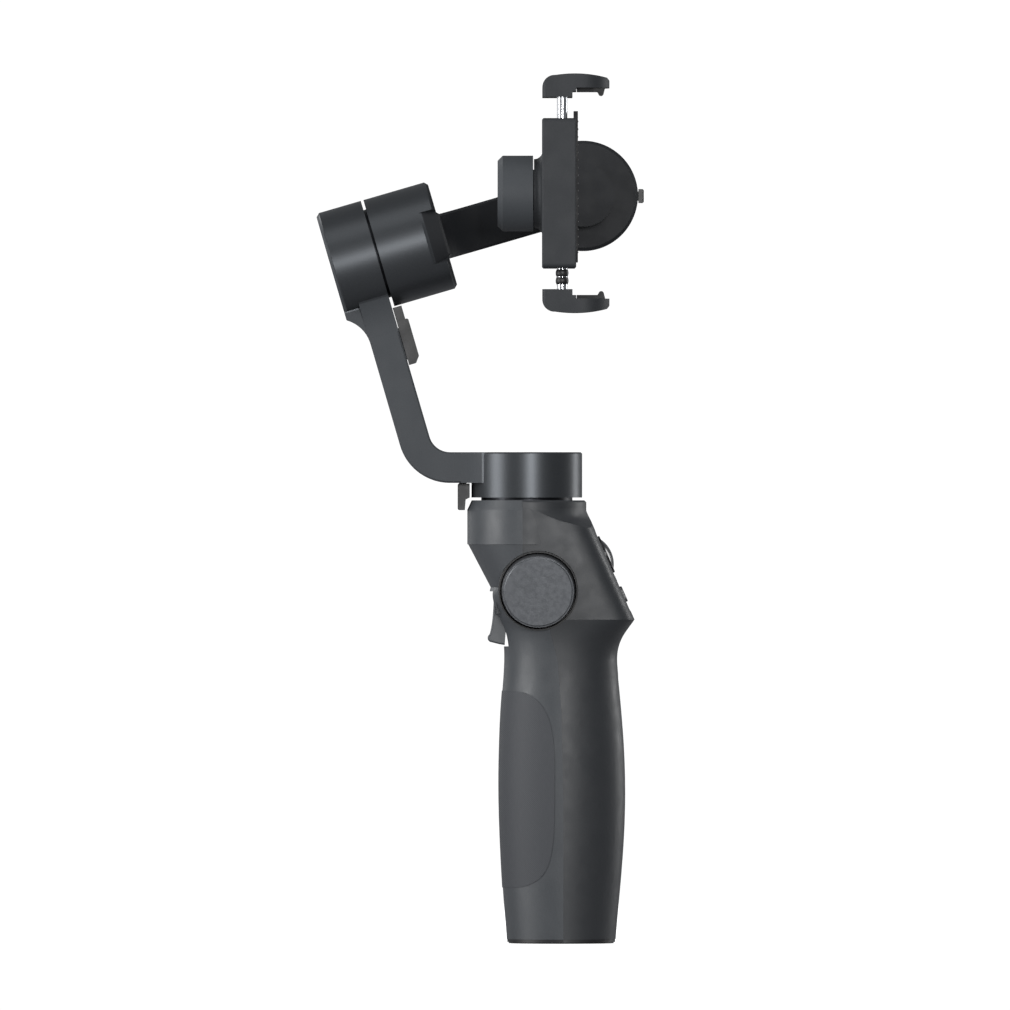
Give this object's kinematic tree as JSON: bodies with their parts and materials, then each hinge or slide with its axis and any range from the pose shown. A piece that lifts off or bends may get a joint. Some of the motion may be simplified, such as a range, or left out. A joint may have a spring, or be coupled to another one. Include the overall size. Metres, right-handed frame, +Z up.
{
  "type": "handheld phone gimbal",
  "caption": "Motor-stabilised gimbal on a pistol grip, with bent pan, roll and tilt arms and a geared phone clamp.",
  "frame": {"origin": "centre of the tripod socket's mouth in the flat foot", "axes": "+Z up along the grip, +X towards the thumb controls, +Y away from the focus wheel"},
  "size_m": [0.1145, 0.1108, 0.3029],
  "materials": {
    "shell_satin": "satin moulded plastic, dark slate grey",
    "arm_satin": "satin dark slate grey paint on die-cast metal",
    "black_plastic": "fine matte black",
    "soft_rubber": "matte black rubber",
    "dial_metal": "spun and anodised, dark grey",
    "button_plastic": "semi-gloss dark plastic",
    "lamp_lens": "frosted lamp lens",
    "rod_steel": "polished steel",
    "brass": "turned brass",
    "motor_aluminium": "machined",
    "magnet_ring": "nickel-plated magnets",
    "winding": "enamelled copper on a steel core",
    "cell_sleeve": "heat-shrunk sleeve",
    "board": "solder-masked circuit board",
    "gear_nylon": "natural nylon"
  },
  "bodies": {
    "handle": {"front_shell": "shell_satin", "rear_shell": "shell_satin", "grip_pad": "soft_rubber", "base_cap": "black_plastic", "tripod_insert": "brass", "base_screws": "rod_steel", "battery_cells": "cell_sleeve", "battery_tray": "black_plastic", "main_board": "board", "usb_port": "rod_steel", "control_panel": "shell_satin", "status_light": "lamp_lens", "joystick_bezel": "black_plastic", "wheel_seat": "shell_satin", "trigger_pin": "rod_steel", "trigger_switch": "black_plastic", "trigger_spring": "rod_steel", "pan_mount": "motor_aluminium", "pan_stator": "winding", "pan_bearings": "rod_steel"},
    "focus_wheel": {"focus_wheel_rim": "dial_metal", "focus_wheel_cap": "dial_metal"},
    "trigger": {"trigger_lever": "shell_satin"},
    "joystick_gimbal": {"joystick_ring": "black_plastic"},
    "joystick": {"joystick_cap": "soft_rubber"},
    "record_button": {"record_button": "button_plastic"},
    "mode_button": {"mode_button": "button_plastic"},
    "main_arm": {"pan_arm": "arm_satin", "pan_arm_cover": "arm_satin", "pan_magnets": "magnet_ring", "pan_shaft": "rod_steel", "roll_mount": "motor_aluminium", "roll_stator": "winding", "roll_bearings": "rod_steel", "roll_back_cap": "arm_satin"},
    "pan_lock": {"pan_lock": "black_plastic"},
    "roll_lock": {"roll_lock": "black_plastic"},
    "roll_arm": {"roll_arm": "arm_satin", "roll_magnets": "magnet_ring", "roll_shaft": "rod_steel", "tilt_mount": "motor_aluminium", "tilt_stator": "winding", "tilt_bearings": "rod_steel", "tilt_back_cap": "arm_satin"},
    "tilt_lock": {"tilt_lock": "black_plastic"},
    "tilt_bracket": {"tilt_arm": "arm_satin", "hub_cap": "arm_satin", "tilt_magnets": "magnet_ring", "tilt_shaft": "rod_steel"},
    "clamp": {"clamp_body": "arm_satin", "clamp_back": "arm_satin", "clamp_pad": "soft_rubber"},
    "pinion": {"sync_pinion": "gear_nylon"},
    "upper_jaw": {"upper_jaw": "arm_satin", "upper_jaw_pad": "soft_rubber", "upper_rods": "rod_steel"},
    "lower_jaw": {"lower_jaw": "arm_satin", "lower_jaw_pad": "soft_rubber", "lower_rods": "rod_steel", "lower_sleeves": "black_plastic"}
  },
  "joints": [
    {"name": "focus_wheel_turn", "type": "hinge", "parent": "handle", "child": "focus_wheel", "pos_m": [-0.00805, -0.0193, 0.1229], "axis": [0, -0.9954, -0.0958], "continuous": true},
    {"name": "trigger_pull", "type": "hinge", "parent": "handle", "child": "trigger", "pos_m": [-0.0202, 0, 0.1189], "axis": [0, -1, 0], "range_deg": [0, 6], "stiffness_Nm_per_rad": 0.12, "springref_deg": -2.86},
    {"name": "joystick_pitch", "type": "hinge", "parent": "handle", "child": "joystick_gimbal", "pos_m": [0.0127, 0, 0.13419], "axis": [0, 1, 0], "range_deg": [-8, 8], "stiffness_Nm_per_rad": 0.02},
    {"name": "joystick_yaw", "type": "hinge", "parent": "joystick_gimbal", "child": "joystick", "pos_m": [0.0127, 0, 0.13419], "axis": [-0.4032, 0, 0.9151], "range_deg": [-8, 8], "stiffness_Nm_per_rad": 0.02},
    {"name": "record_press", "type": "slide", "parent": "handle", "child": "record_button", "axis": [-0.9151, 0, -0.4032], "range_m": [0, 0.0005], "stiffness_N_per_m": 800, "springref_m": -0.0003},
    {"name": "mode_press", "type": "slide", "parent": "handle", "child": "mode_button", "axis": [-0.9151, 0, -0.4032], "range_m": [0, 0.0005], "stiffness_N_per_m": 800, "springref_m": -0.0003},
    {"name": "pan", "type": "hinge", "parent": "handle", "child": "main_arm", "pos_m": [-0.012, 0, 0.163], "axis": [0, 0, 1], "range_deg": [-160, 160]},
    {"name": "pan_lock_slide", "type": "slide", "parent": "main_arm", "child": "pan_lock", "axis": [-1, 0, 0], "range_m": [0, 0.002]},
    {"name": "roll_lock_slide", "type": "slide", "parent": "main_arm", "child": "roll_lock", "axis": [0.2798, 0, -0.96], "range_m": [0, 0.0035]},
    {"name": "roll", "type": "hinge", "parent": "main_arm", "child": "roll_arm", "pos_m": [0.0078, 0, 0.2613], "axis": [0.96, 0, 0.2798], "range_deg": [-160, 160]},
    {"name": "tilt_lock_slide", "type": "slide", "parent": "roll_arm", "child": "tilt_lock", "axis": [0, 1, 0], "range_m": [0, 0.003]},
    {"name": "tilt", "type": "hinge", "parent": "roll_arm", "child": "tilt_bracket", "pos_m": [0.0078, 0, 0.2613], "axis": [0, 1, 0], "range_deg": [-160, 160]},
    {"name": "clamp_swivel", "type": "hinge", "parent": "tilt_bracket", "child": "clamp", "pos_m": [0.0078, 0, 0.2613], "axis": [1, 0, 0], "range_deg": [0, 90]},
    {"name": "upper_jaw_slide", "type": "slide", "parent": "clamp", "child": "upper_jaw", "axis": [0, 0, 1], "range_m": [-0.0064, 0.006]},
    {"name": "lower_jaw_slide", "type": "slide", "parent": "clamp", "child": "lower_jaw", "axis": [0, 0, -1], "range_m": [-0.0064, 0.006]},
    {"name": "pinion_turn", "type": "hinge", "parent": "clamp", "child": "pinion", "pos_m": [0.0003, 0, 0.2613], "axis": [1, 0, 0], "range_deg": [-110, 110]}
  ],
  "couplings": [
    {"joint": "lower_jaw_slide", "follows": "upper_jaw_slide", "ratio": 1},
    {"joint": "pinion_turn", "follows": "upper_jaw_slide", "rad_per_m": 277.78}
  ]
}
